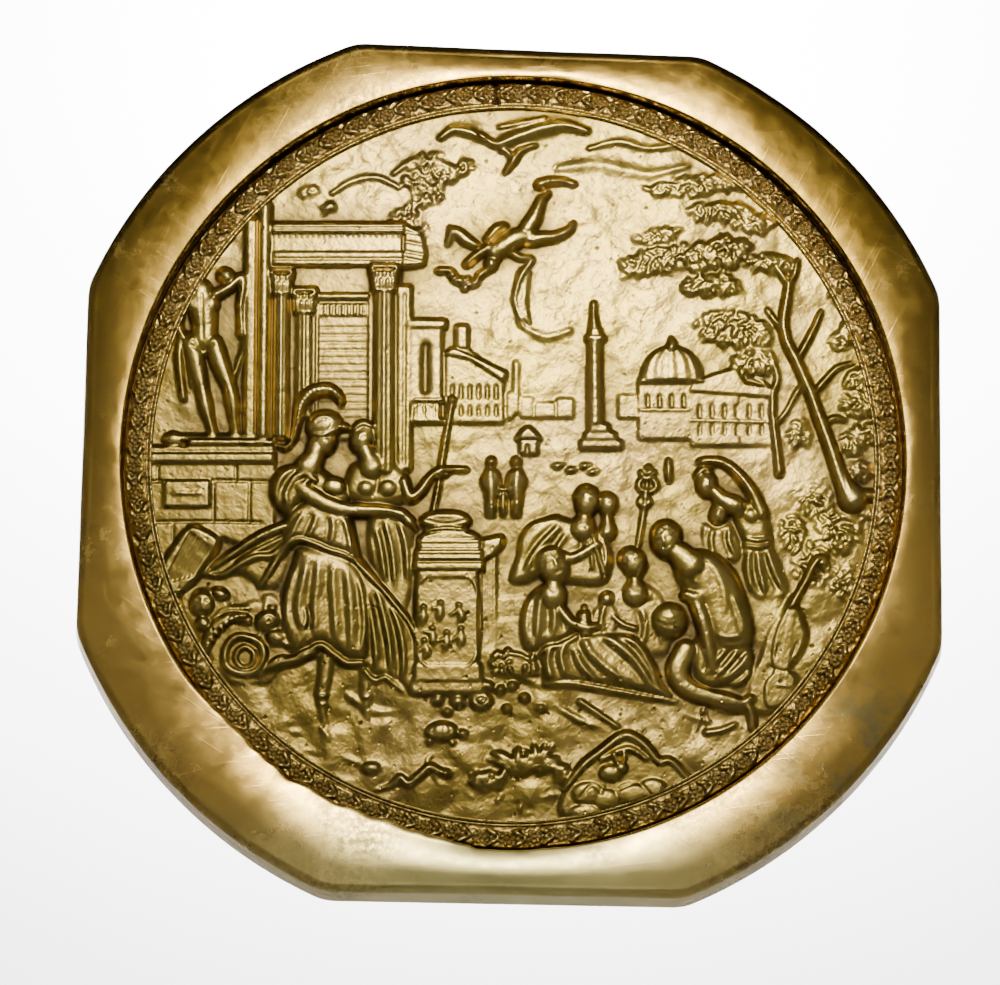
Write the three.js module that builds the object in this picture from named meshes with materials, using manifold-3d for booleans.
// Cast relief plaque: a round brass medallion with a landscape of gods, muses and ruins, let into a
// heavy brass frame that is a disc cut by four flats. Millimetres; +Z up, front towards -Y, and the
// origin is behind the medallion's centre on the flat back, where the plaque lies against a wall.
//
// Everything is drawn flat, with X to the right, Y up and Z towards the viewer, and the whole group is
// then stood up. A height in the picture is counted from the medallion's ground.
import * as THREE from "three";
import { mergeVertices } from "three/addons/utils/BufferGeometryUtils.js";
import Module from "manifold-3d";

const wasm = await Module();
wasm.setup();

// ---- driving dimensions ----
const FRAME_RADIUS = 93.7; // the round outline before the flats
const FRAME_MIDDLE = [-0.2, -1.4]; // of the round outline; the medallion sits a little above it
const FRAME_FLATS = [
  [86.4, 0.5],
  [85.4, 88.9],
  [87.0, 180.2],
  [88.1, 270.1],
]; // each flat's distance from the medallion's centre, and the way it faces in degrees
const FRAME_DRAFT = 1.1; // the outer wall leans in this much towards the front
const FRAME_WALL = 9.3; // height of the outer wall
const FRAME_SHOULDER = 2.1; // width of the rounded shoulder on top of the wall
const FRAME_BROW = 11.4; // height where the shoulder meets the face
const FRAME_CROWN = 11.85; // highest line of the face
const CROWN_PLACE = 0.75; // of the way from the brow to the lip
const FRAME_LIP = 11.75; // height of the face at the medallion
const LIP_SINK = 1.3; // the lip is worn lower than that near the bottom
const FRAME_FLOOR = 4; // brass left behind the medallion
const MEDALLION_RADIUS = 78;
const GAP = 0.3; // all round the medallion, where the solder runs
const PLATE = 3.3; // medallion from its back to the ground of the picture
const FIELD_RADIUS = 72.4; // the picture inside its border
const RIM_HEIGHT = 1.8;
const BAND_RADIUS = 75.6; // middle of the leaf band
const BAND_HEIGHT = 1.2;
const THICKEST = 1.8; // no limb is deeper than this, however wide
const LEAVES = 36;
const SIDES = 5; // sides of every limb
const FACETS = 64; // sides of every round outline
const SMALLEST = 0.2; // details finer than this are left out
const SET_ANGLE = THREE.MathUtils.degToRad(1.2); // the medallion sits a little off level in its frame
const BRASS = new THREE.MeshStandardMaterial({ color: 0xa9853c, roughness: 0.3, metalness: 1 });
const BRONZE = new THREE.MeshStandardMaterial({ color: 0x8a7140, roughness: 0.42, metalness: 1 });

// ---- shapes ----
// A closed shape as a solid, without the slivers that a lathe leaves at its poles.
function solid(geometry) {
  const bare = geometry.index ? geometry.toNonIndexed() : geometry;
  const positions = new THREE.BufferGeometry().setAttribute("position", bare.getAttribute("position"));
  const merged = mergeVertices(positions, 1e-4);
  const corners = merged.index.array;
  const faces = [];
  for (let i = 0; i < corners.length; i += 3) {
    const [a, b, c] = corners.slice(i, i + 3);
    if (a !== b && b !== c && c !== a) faces.push(a, b, c);
  }
  return new wasm.Manifold(
    new wasm.Mesh({
      numProp: 3,
      vertProperties: merged.attributes.position.array,
      triVerts: new Uint32Array(faces),
    }),
  );
}

function geometryOf(body) {
  const { vertProperties, triVerts, numProp, numVert } = body.getMesh();
  const xyz = new Float32Array(numVert * 3);
  for (let i = 0; i < numVert; i++) xyz.set(vertProperties.subarray(i * numProp, i * numProp + 3), i * 3);
  return new THREE.BufferGeometry()
    .setAttribute("position", new THREE.BufferAttribute(xyz, 3))
    .setIndex(new THREE.BufferAttribute(triVerts, 1));
}

// A tapered limb that bends through points [x, y, height, radius] and has a blunt tip at both ends.
function limb(...points) {
  const at = points.map((p) => new THREE.Vector3(p[0], p[1], p[2]));
  const end = at.length - 1;
  const way = (i) => at[Math.min(i + 1, end)].clone().sub(at[Math.max(i - 1, 0)]).normalize();
  const up = new THREE.Vector3(0, 0, 1);
  const tip = 0.7;
  const xyz = at[0].clone().addScaledVector(way(0), -tip * points[0][3]).toArray();
  at.forEach((centre, i) => {
    const across = way(i).cross(up).normalize();
    const out = across.clone().cross(way(i));
    for (let k = 0; k < SIDES; k++) {
      const angle = (2 * Math.PI * (k + 0.5)) / SIDES;
      const rim = centre.clone().addScaledVector(across, points[i][3] * Math.cos(angle));
      xyz.push(...rim.addScaledVector(out, Math.min(THICKEST, points[i][3]) * Math.sin(angle)));
    }
  });
  xyz.push(...at[end].clone().addScaledVector(way(end), tip * points[end][3]));
  const ring = (i, k) => 1 + i * SIDES + (k % SIDES);
  const faces = [];
  for (let k = 0; k < SIDES; k++) {
    faces.push(0, ring(0, k), ring(0, k + 1));
    for (let i = 0; i < end; i++) {
      faces.push(ring(i, k), ring(i + 1, k), ring(i, k + 1));
      faces.push(ring(i + 1, k), ring(i + 1, k + 1), ring(i, k + 1));
    }
    faces.push(ring(end + 1, 0), ring(end, k + 1), ring(end, k));
  }
  return new THREE.BufferGeometry()
    .setAttribute("position", new THREE.Float32BufferAttribute(xyz, 3))
    .setIndex(faces);
}

// An egg-shaped mass, wide by high by deep, turned by tilt degrees in the plane of the picture.
function mass(x, y, height, wide, high, deep, tilt = 0) {
  return new THREE.SphereGeometry(1, 6, 4)
    .rotateX(Math.PI / 2)
    .scale(wide, high, deep)
    .rotateZ(THREE.MathUtils.degToRad(tilt))
    .translate(x, y, height);
}

// A block on the ground of the picture, from its left, right, bottom and top.
function block(left, right, bottom, top, height) {
  const buried = 1;
  return new THREE.BoxGeometry(right - left, top - bottom, height + buried).translate(
    (left + right) / 2,
    (bottom + top) / 2,
    (height - buried) / 2,
  );
}

// A sheet of metal with a smooth outline through the points, and a bevel round its front.
function cloth(points, height, bevel = 0.8) {
  const steps = Math.round(1.5 * points.length);
  const curve = new THREE.CatmullRomCurve3(points.map(([x, y]) => new THREE.Vector3(x, y, 0)), true);
  const outline = curve.getPoints(steps).slice(0, steps);
  return new THREE.ExtrudeGeometry(new THREE.Shape(outline), {
    depth: height - bevel + 1,
    bevelThickness: bevel,
    bevelSize: bevel,
    bevelOffset: -bevel,
    bevelSegments: 1,
  }).translate(0, 0, -1);
}

// Half a column standing out of the ground, with hollow flutes if it has any.
function shaft(x, bottom, top, radius, height, flutes = 0) {
  const steps = flutes ? 2 * flutes : 6;
  const section = [];
  for (let i = 0; i <= steps; i++) {
    const angle = (Math.PI * i) / steps;
    const r = flutes && i % 2 ? 0.84 : 1;
    section.push(new THREE.Vector2(radius * r * Math.cos(angle), -height * r * Math.sin(angle)));
  }
  section.push(new THREE.Vector2(-radius, 0.5), new THREE.Vector2(radius, 0.5));
  return new THREE.ExtrudeGeometry(new THREE.Shape(section), { depth: top - bottom, bevelEnabled: false })
    .rotateX(-Math.PI / 2)
    .translate(x, bottom, 0);
}

// A figure's head with its cap of hair, which leans towards tilt.
function head(x, y, height, size, tilt = 0) {
  return mass(x, y, height, 0.82 * size, size, 0.8 * size, tilt);
}

// ---- the picture ----
function temple() {
  const [left, right, top] = [-48, -21.4, 48.4];
  const base = 3;
  return [
    shaft(-49.8, base, 53, 1.4, 1.6),
    block(-53.2, -51.2, base, 50, 0.5),
    block(left, right, top - 1.6, top, 1.6),
    block(left, right, top - 5.6, top - 1.6, 1.1),
    cloth([[right, top], [right + 3.8, top - 5], [right + 3, top - 8], [right, top - 6]], 1.2, 0.3),
    shaft(-46.5, base, 35, 1.8, 1.6, 5),
    block(-48.3, -44.3, 35, 39, 1.5),
    shaft(-41.6, 12, 32.4, 1.9, 1, 5),
    block(-43.6, -39.4, 32.4, 36, 1),
    shaft(-25.4, -8, 35, 2.3, 1.8, 5),
    block(-28.6, -22, 35, 39.2, 1.9),
    block(-22.4, -20.4, -6, 42, 0.9),
    block(-39.4, -29, 31, 34.4, 0.5),
  ];
}

function town() {
  const tower = { x: 17, base: 2.4, shaft: 7.4, top: 25 };
  const dome = { x: 32.2, wall: 10, spring: 16.6 };
  return [
    block(-20.4, -13.2, 26, 28, 0.9),
    block(-20.4, -18.8, 12, 26, 0.7),
    block(-15.6, -13.2, 12, 26, 0.7),
    cloth([[-12.8, 7], [-12.8, 19], [-10.8, 22], [-1.8, 16.8], [-1.8, 7]], 0.5, 0.2),
    block(0.2, 1.4, 8, 20, 0.4),
    cloth([[0.8, 3.8], [3.7, 7], [6.2, 3.8], [5.6, 1.2], [1.5, 1.2]], 0.8, 0.3),
    block(tower.x - 3.7, tower.x + 3.9, tower.base, tower.base + 2.4, 1),
    block(tower.x - 2.2, tower.x + 2.4, tower.base + 2.4, tower.shaft, 1),
    shaft(tower.x, tower.shaft, tower.top, 1.4, 1.5),
    block(tower.x - 2.2, tower.x + 2.2, tower.top, tower.top + 1.6, 1.4),
    limb([tower.x, tower.top + 1, 0.5, 1], [tower.x - 0.4, 31, 0.4, 0.5]),
    block(dome.x - 5.4, dome.x + 4, dome.wall, dome.spring, 0.6),
    mass(dome.x, dome.spring, 0, 5.1, 7, 1.4),
    mass(dome.x, dome.spring + 7.6, 0, 1, 1.4, 0.9),
    block(36, 41.6, 3.6, 15.2, 0.6),
    block(41.6, 49.4, 3.6, 13.8, 0.4),
  ];
}

function statue() {
  return [
    head(-58.6, 37.9, 0.8, 2.2, 15),
    mass(-61.2, 30.8, 0.5, 2.9, 4.2, 1.7, -6),
    mass(-61.6, 25, 0.5, 2.6, 2.6, 1.6),
    limb([-63, 24, 0.5, 1.7], [-62.2, 16.7, 0.6, 1.3], [-60.2, 6.3, 0.4, 0.8]),
    limb([-60.2, 24.2, 0.5, 1.7], [-57.8, 16.7, 0.7, 1.3], [-55.6, 6.3, 0.4, 0.8]),
    limb([-63.8, 33, 0.4, 1], [-66, 28.5, 0.3, 0.8], [-66.6, 21, 0.2, 0.6], [-66, 12, 0.1, 0.5]),
    limb([-57.2, 34, 0.4, 1], [-53.8, 31.5, 0.3, 0.8], [-52.8, 27, 0.2, 0.6], [-54.8, 14, 0.1, 0.5]),
    block(-71.4, -47.8, 0.8, 2.4, 1.4),
    block(-71.6, -47.8, -1, 0.8, 0.9),
    block(-64.6, -50.4, 2.4, 5.4, 0.9),
    block(-69.4, -60.4, -9.6, -4.1, 1.4),
  ];
}

function minerva() {
  const crest = [[-34.2, 12.4], [-37.6, 14.6], [-41.6, 12.4], [-43.2, 7], [-47.2, 2.6]];
  const sleeve = [[-39.6, -1.6], [-45.4, -1.6], [-48.8, -5.4], [-47, -10], [-42, -10.6], [-39, -6.4]];
  const tunic = [
    [-43.6, -9], [-36, -8.4], [-31.6, -15.4], [-26.8, -22], [-33.4, -20], [-38, -18.4],
    [-42, -17], [-46, -19.6], [-46.2, -14],
  ];
  const skirt = [
    [-45.6, -17], [-38, -16], [-28, -20.4], [-22, -30], [-19.2, -37], [-18.6, -48], [-26.6, -41.4],
    [-34.4, -40.6], [-38, -38.4], [-44, -40.4], [-50.8, -44.6], [-46.4, -36.4], [-46.8, -26],
  ];
  const cloak = [[-42.6, -11.8], [-49.8, -15], [-57.8, -19], [-60.8, -22.8], [-56, -24.2], [-48, -19.8]];
  const folds = [-45, -41, -36.6, -32, -27.2].map((foot, i) => {
    const waist = -42 + 2.5 * i;
    const middle = [(waist + foot) / 2 - 0.8, -29, 2.9, 0.9];
    return limb([waist, -17.5 - 0.5 * i, 2.5, 0.7], middle, [foot, -39, 2.3, 0.7]);
  });
  return [
    limb(...crest.map(([x, y], i) => [x, y, 2.6 - 0.3 * Math.abs(i - 2), 1.3 - 0.15 * Math.max(0, i - 2)])),
    mass(-38.2, 8.4, 1.5, 3.4, 3, 2.5, -10),
    head(-37.6, 4.2, 1.4, 3.3, 8),
    limb([-38.6, 1.8, 1.8, 1.6], [-39.6, -3, 1.8, 1.9]),
    mass(-40.4, -7.4, 1.4, 5.2, 6.6, 2.5, 8),
    cloth(sleeve, 3.4),
    limb([-41.6, -6, 2.2, 2.2], [-36, -8.9, 2.4, 1.8], [-27.4, -10.8, 2.6, 1.4], [-23.6, -11, 2.3, 1.2]),
    mass(-21.6, -12.2, 2.5, 1.9, 1.1, 1, -30),
    cloth(cloak, 2),
    cloth(skirt, 2.8, 0.7),
    cloth(tunic, 3.5, 0.7),
    ...folds,
    limb([-50.8, -44.4, 2, 0.7], [-44, -40, 2.6, 0.9], [-38, -37.8, 2.9, 1], [-29.6, -40, 2.2, 0.9]),
    limb([-37.8, -40, 1, 2.2], [-37.5, -47, 1.2, 1.5], [-37.4, -52, 0.9, 1], [-36, -56, 0.9, 1.1]),
    limb([-29.8, -41, 0.8, 2], [-29.6, -47.4, 0.9, 1.3], [-29.2, -53.6, 0.6, 1]),
  ];
}

function painter() {
  return [
    head(-29.6, 4.2, 1.6, 2.9, -12),
    limb([-29, 2, 1.2, 1.1], [-27.8, -2, 1.2, 1.5]),
    mass(-26.8, -5.6, 0.9, 4.4, 4.6, 1.9, 10),
    limb([-24, -4, 0.9, 1.5], [-20.6, -8.8, 1, 1.2], [-16.6, -3.4, 1.3, 0.9], [-9.8, -2.2, 1.1, 0.8]),
    limb([-12.2, 11.6, 1, 0.45], [-16.2, -10.6, 1.2, 0.45]),
    cloth([[-30, -11], [-22, -12], [-18.4, -20], [-19, -32], [-24, -27], [-29, -19]], 1.6, 0.6),
  ];
}

function altar() {
  const [left, edge, right] = [-18.6, -6.4, -3];
  return [
    shaft(-13, -14.9, -11.6, 4.4, 1.9),
    block(left - 0.2, edge + 0.4, -17.4, -15.2, 2),
    block(left, edge + 0.2, -19.8, -17.4, 2.6),
    block(left + 0.4, edge, -24, -19.8, 1.9),
    block(left + 0.4, edge, -42, -24, 2.1),
    block(left, edge + 0.4, -43.6, -41.2, 2.6),
    cloth([[edge, -15.4], [right + 1.2, -14.6], [right, -18], [right, -40], [edge, -42.6]], 1.1, 0.3),
    ...[-0.4, 1.2, 2.6].map((step, i) => mass(-14.4 + 1.6 * step, -31.5, 2.2, 0.9, 3.6 - i * 0.5, 0.6)),
  ];
}

function muses() {
  const piperRobe = [[5, -12], [12, -12.6], [15.4, -20], [9, -26], [-0.6, -23.2], [1.6, -14.4]];
  const writerBack = [[5.6, -25], [11.4, -26.4], [15.6, -36], [11, -40.6], [3.6, -41.6], [1.8, -34.4]];
  const writerSkirt = [
    [14.6, -33.4], [22.6, -34.6], [28.6, -41], [32, -48.4], [18.6, -46.8], [5.6, -46], [5.2, -39],
  ];
  const skirtFolds = [0, 1, 2, 3].map((i) => limb([15 + i, -35.4, 2.6, 0.7], [14 + 5 * i, -45.6, 2.2, 0.9]));
  return [
    head(14.7, -9.1, 1.9, 3.1, 20),
    head(19, -9.9, 1.1, 2.4),
    cloth(piperRobe, 1.9, 0.7),
    limb([9, -15.4, 1.9, 1.3], [11.6, -18.2, 2, 1.1], [16.4, -17.2, 2.2, 0.9]),
    limb([16, -13, 2.2, 0.5], [18.4, -23.4, 2.4, 0.6]),
    head(8.1, -21.4, 0.8, 3.9, 18),
    cloth(writerBack, 2.9, 1),
    cloth(writerSkirt, 2.6, 1),
    ...skirtFolds,
    limb([10.6, -29.6, 2.4, 1.6], [13.4, -35.6, 2.8, 1.2], [15.4, -33, 2.8, 0.7]),
    head(24.2, -21.3, 1.4, 2.8, -10),
    cloth([[20.6, -25.4], [27, -24.4], [31, -30], [28.6, -37.4], [22, -34]], 1.3, 0.6),
    mass(31.4, -32.4, 1, 3.5, 3.5, 2.4),
    limb([27, -2.4, 0.5, 0.5], [24.8, -16, 0.5, 0.5]),
    mass(27, -4.6, 0.6, 1.9, 2.2, 0.7),
    head(30.6, -16, 1, 3.7, 15),
    limb([34.6, -21.4, 1.2, 4.6], [40.4, -27.4, 1.6, 5.2], [44.4, -36.6, 1.2, 4.6]),
    limb([36.2, -27.2, 2.2, 2], [38.2, -33.6, 2.6, 1.7], [38.2, -39.4, 2.4, 1.2], [40, -42.2, 2.2, 1.2]),
    limb([36.6, -36, 1.6, 3], [33.2, -44, 2, 2.6]),
    limb([33.2, -44, 2, 2.4], [39.4, -47.4, 2.2, 2], [45.8, -49.4, 1.6, 1.1], [46.6, -54, 1.2, 1]),
    cloth([[40, -38], [47.4, -37.6], [48, -42.6], [43, -45]], 2.2, 0.6),
  ];
}

function dancer() {
  return [
    head(39.2, -4, 1.2, 2.6, -10),
    head(41.2, -10.6, 0.7, 2.4),
    limb([38.2, -0.4, 1.6, 0.8], [42.4, -0.9, 1.8, 0.9], [46.4, -4.2, 1.7, 1], [49.4, -11, 1.4, 1.4]),
    limb([47, -11.4, 1.1, 2.4], [48.2, -17.6, 1.1, 2.2]),
    cloth([[46.4, -17], [50.8, -17], [55.4, -25], [49, -28.4], [43.6, -26]], 1.5, 0.6),
  ];
}

function viol() {
  const body = [
    [54, -27], [57.6, -29.6], [57.6, -33.6], [54.6, -38], [55, -42.4], [54, -47.4],
    [50, -50.2], [47.4, -46], [49, -40], [50.4, -34],
  ];
  return [cloth(body, 2.2, 0.5), limb([60.6, -19.8, 1.6, 1.2], [54.6, -29, 2, 1])];
}

function genius() {
  const wreath = [0, 1, 2, 3, 4].map((i) => mass(-13.8 + 1.5 * i, 39 - 1.1 * Math.sin(i), 0.4, 1, 0.8, 0.7));
  return [
    head(-3.8, 39.8, 1, 1.7),
    limb([-2.6, 42.2, 1, 1.9], [2.6, 47, 1, 1.6], [5.8, 53, 0.7, 0.8]),
    limb([3.6, 45.2, 0.8, 1.4], [8.2, 45.6, 0.8, 1.2], [11.6, 47.2, 0.6, 0.7]),
    limb([-4, 42.6, 0.8, 0.9], [-8.2, 41.3, 0.6, 0.7]),
    limb([-12.8, 48, 0.4, 0.6], [-8.6, 44.8, 0.6, 0.9], [-4.6, 44.6, 0.6, 0.9]),
    limb([3.4, 40.6, 0.3, 0.5], [1, 34, 0.3, 0.7], [2.6, 27.6, 0.2, 0.4]),
    limb([5.6, 56.8, 0.5, 0.9], [11.6, 57.2, 0.4, 0.5]),
    ...wreath,
  ];
}

function grove() {
  const trunk = [
    [55.2, 35.6, 0.7, 0.6], [54.8, 27, 0.9, 0.9], [58.2, 17.8, 1, 1.2], [65, -5.2, 1, 2.2],
  ];
  const branches = [
    limb([54.8, 34, 0.7, 0.6], [52.6, 37.6, 0.4, 0.4]),
    limb([56, 21.6, 0.8, 0.7], [60.4, 26, 0.6, 0.6], [63, 29.4, 0.4, 0.5]),
    limb([59.6, 13, 0.8, 0.7], [67, 19, 0.4, 0.4]),
    limb([53, 20, 0.4, 0.5], [52.4, 8, 0.5, 0.6], [53.4, -1.4, 0.4, 0.7]),
  ];
  const sprays = [
    { from: [23, 41], to: [56, 42], size: 2.9, count: 9 },
    { from: [33, 56], to: [46, 50], size: 2.4, count: 4 },
    { from: [36, 28], to: [51, 26], size: 2.5, count: 5 },
    { from: [58, 34], to: [69, 14], size: 2.4, count: 5 },
    { from: [57, -8], to: [68, -20], size: 2.6, count: 5 },
  ];
  const leaves = sprays.flatMap(({ from, to, size, count }) =>
    Array.from({ length: count }, (_, i) => {
      const t = i / (count - 1);
      const sway = size * 0.6 * Math.sin(2.4 * i);
      return mass(
        from[0] + (to[0] - from[0]) * t,
        from[1] + (to[1] - from[1]) * t + sway,
        0.2,
        size,
        size * 0.7,
        1 + 0.3 * Math.cos(i),
        20 * Math.sin(i),
      );
    }),
  );
  return [limb(...trunk), ...branches, ...leaves];
}

function ground() {
  const near = [
    [-66, -27], [-30, -44], [4, -46.4], [36, -50], [50, -51], [40, -60], [6, -71.6], [-30, -66], [-54, -47],
  ];
  return [
    cloth(near, 0.8, 0.6),
    mass(-64.2, -20.4, 0.2, 4, 6.4, 1.8, -18),
    mass(-60.6, -28, 0.3, 3.4, 3.6, 1.6),
    mass(-53.4, -38.4, 0.5, 4.2, 3.8, 1.8),
    mass(22, -60.6, 0, 8.6, 6.4, 2.2, -8),
    mass(33, -61.6, 0, 4.6, 3.4, 1.8),
    mass(19.4, -67.4, 0.6, 7, 3.4, 1.8),
    mass(-14.2, -55, 0.6, 3.2, 2, 1.6),
    mass(-28, -61.6, 0.6, 2.6, 1.8, 1.4),
    mass(8, -45.4, 0.4, 5.4, 2.8, 1.4, 14),
    limb([-23.4, -65, 1.2, 0.5], [-20.4, -65.2, 1.2, 0.6], [-17.6, -62, 1.4, 0.9], [-12.6, -63.4, 1.4, 0.9]),
    ...[-60, -36, -10, 14, 40, 62].map((lean) => {
      const angle = THREE.MathUtils.degToRad(lean);
      return limb([0.4, -63.6, 1, 0.7], [0.4 + 7 * Math.sin(angle), -63.6 + 6.4 * Math.cos(angle), 1.2, 0.4]);
    }),
  ];
}

// ---- the two castings ----
function blank() {
  const profile = [
    [0, -PLATE],
    [MEDALLION_RADIUS, -PLATE],
    [MEDALLION_RADIUS, RIM_HEIGHT],
    [MEDALLION_RADIUS - 0.8, RIM_HEIGHT],
    [BAND_RADIUS, BAND_HEIGHT],
    [FIELD_RADIUS + 1, BAND_HEIGHT - 0.4],
    [FIELD_RADIUS + 0.5, RIM_HEIGHT - 0.4],
    [FIELD_RADIUS, 0],
    [0, 0],
  ];
  const section = profile.map(([r, y]) => new THREE.Vector2(r, y));
  return new THREE.LatheGeometry(section, FACETS).rotateX(Math.PI / 2);
}

// The border's leaves: slim lozenges that lean to and fro along the band.
function leafBorder() {
  return Array.from({ length: LEAVES }, (_, i) => {
    const lean = i % 2 ? 0.6 : -0.6;
    return new THREE.OctahedronGeometry(1)
      .scale(0.85, 1.9, 1.1)
      .rotateZ(Math.PI / 2 + lean)
      .translate(0, BAND_RADIUS, BAND_HEIGHT)
      .rotateZ((2 * Math.PI * i) / LEAVES);
  });
}

function medallion() {
  const scenery = [temple(), town(), statue(), ground(), genius(), grove()].flat();
  const figures = [painter(), minerva(), altar(), muses(), dancer(), viol()].flat();
  const reach = FIELD_RADIUS + 0.4;
  const depth = 2 * PLATE + 10;
  const disc = new THREE.CylinderGeometry(reach, reach, depth, FACETS).rotateX(Math.PI / 2);
  const field = solid(disc.translate(0, 0, depth / 2 - PLATE / 2));
  const picture = wasm.Manifold.union([...scenery, ...figures].map(solid)).intersect(field);
  const border = wasm.Manifold.union(leafBorder().map(solid));
  const casting = solid(blank()).add(picture).add(border).simplify(SMALLEST);
  const mesh = new THREE.Mesh(geometryOf(casting), BRONZE);
  mesh.name = "relief_medallion";
  mesh.position.z = FRAME_FLOOR + GAP + PLATE;
  mesh.rotation.z = SET_ANGLE;
  return mesh;
}

// Distance from the centre to the round outline at an angle.
function roundReach(angle) {
  const [x, y] = FRAME_MIDDLE;
  const along = Math.cos(angle) * x + Math.sin(angle) * y;
  return along + Math.sqrt(along ** 2 + FRAME_RADIUS ** 2 - x ** 2 - y ** 2);
}

// Distance from the centre to one flat at an angle.
function flatReach([distance, way], angle) {
  return distance / Math.max(Math.cos(angle - THREE.MathUtils.degToRad(way)), 0.3);
}

function outline(angle) {
  return Math.min(roundReach(angle), ...FRAME_FLATS.map((flat) => flatReach(flat, angle)));
}

// The angle where a flat meets the round outline, on one side of it, found by halving.
function cornerAngle(flat, side) {
  let [near, far] = [0, 45];
  for (let k = 0; k < 30; k++) {
    const angle = THREE.MathUtils.degToRad(flat[1] + (side * (near + far)) / 2);
    if (flatReach(flat, angle) < roundReach(angle)) near = (near + far) / 2;
    else far = (near + far) / 2;
  }
  return (flat[1] + side * near + 360) % 360;
}

// Even angles round the outline, where each corner takes the place of its neighbours.
function outlineAngles() {
  const corners = FRAME_FLATS.flatMap((flat) => [cornerAngle(flat, -1), cornerAngle(flat, 1)]);
  const even = Array.from({ length: FACETS }, (_, i) => (360 * i) / FACETS);
  const clear = even.filter((a) => corners.every((c) => Math.abs(a - c) > 1.5));
  return [...clear, ...corners].sort((a, b) => a - b).map(THREE.MathUtils.degToRad);
}

// The frame is one closed sweep: a section from the axis at the back, up the outer wall, over the
// shoulder and the worn face and down into the seat. Each row of the section is the share of the way
// from the seat to the outline, the inset from there, the height and the share of the lip's sinking.
function frame() {
  const seat = MEDALLION_RADIUS + GAP;
  const shoulder = [0.4, 0.7, 1].map((t) => [
    1,
    FRAME_SHOULDER * (1 - Math.cos((Math.PI * t) / 2)),
    FRAME_WALL + (FRAME_BROW - FRAME_WALL) * Math.sin((Math.PI * t) / 2),
    0,
  ]);
  const face = [0.25, 0.5, CROWN_PLACE, 0.9, 1].map((t) => {
    const past = t > CROWN_PLACE ? (t - CROWN_PLACE) / (1 - CROWN_PLACE) : 1 - t / CROWN_PLACE;
    const foot = t > CROWN_PLACE ? FRAME_LIP : FRAME_BROW;
    const sinks = (Math.max(t - 0.25, 0) / 0.75) ** 1.6;
    return [1 - t, FRAME_SHOULDER * (1 - t), FRAME_CROWN + (foot - FRAME_CROWN) * past ** 2, sinks];
  });
  const section = [[1, 0, 0, 0], [1, 0, FRAME_WALL, 0], ...shoulder, ...face, [0, 0, FRAME_FLOOR, 0]];
  const angles = outlineAngles();
  const steps = angles.length;
  const xyz = [0, 0, 0];
  for (const [share, inset, height, sinks] of section)
    for (const angle of angles) {
      const outer = outline(angle) - FRAME_DRAFT * Math.min(height / FRAME_WALL, 1);
      const r = seat + share * (outer - seat) - inset;
      const low = LIP_SINK * THREE.MathUtils.smoothstep(-Math.sin(angle), 0.45, 0.95);
      xyz.push(r * Math.cos(angle), r * Math.sin(angle), height - sinks * low);
    }
  xyz.push(0, 0, FRAME_FLOOR);
  const ring = (row, i) => 1 + row * steps + (i % steps);
  const last = 1 + section.length * steps;
  const faces = [];
  for (let i = 0; i < steps; i++) {
    faces.push(0, ring(0, i + 1), ring(0, i));
    for (let row = 0; row < section.length - 1; row++) {
      faces.push(ring(row, i), ring(row, i + 1), ring(row + 1, i));
      faces.push(ring(row, i + 1), ring(row + 1, i + 1), ring(row + 1, i));
    }
    faces.push(last, ring(section.length - 1, i), ring(section.length - 1, i + 1));
  }
  const geometry = new THREE.BufferGeometry()
    .setAttribute("position", new THREE.Float32BufferAttribute(xyz, 3))
    .setIndex(faces);
  const mesh = new THREE.Mesh(geometry, BRASS);
  mesh.name = "frame";
  return mesh;
}

const plaque = new THREE.Group();
plaque.add(frame(), medallion());
plaque.rotation.x = Math.PI / 2;

export default plaque;
